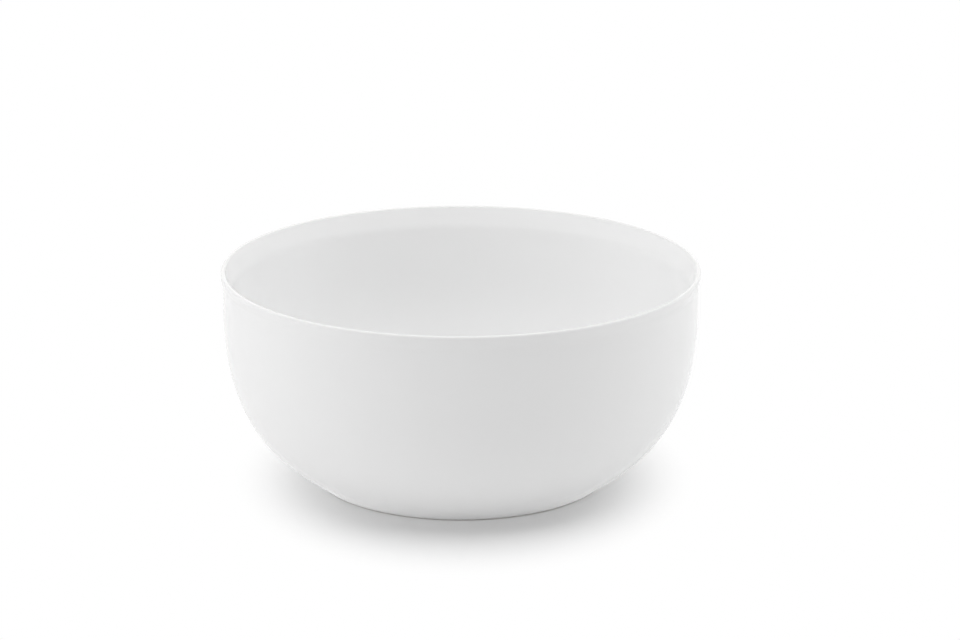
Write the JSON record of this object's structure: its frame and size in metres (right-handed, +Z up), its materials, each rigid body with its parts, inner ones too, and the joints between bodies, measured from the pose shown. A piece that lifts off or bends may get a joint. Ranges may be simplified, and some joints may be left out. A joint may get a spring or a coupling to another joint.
{
  "type": "bowl",
  "caption": "Round white glazed porcelain serving bowl with a thin flared lip, an upright upper wall, a curved belly and a foot ring around a shallow recess.",
  "frame": {"origin": "centre of the foot ring, on the surface that the bowl stands on", "axes": "+Z up along the bowl's axis; the bowl is round, so +X and +Y are any two level directions"},
  "size_m": [0.24, 0.24, 0.109],
  "materials": {
    "bare_porcelain": "matte",
    "white_glaze": "gloss"
  },
  "bodies": {
    "root": {"porcelain_body": "bare_porcelain", "glaze_coat": "white_glaze", "underside_glaze": "white_glaze"}
  },
  "joints": []
}
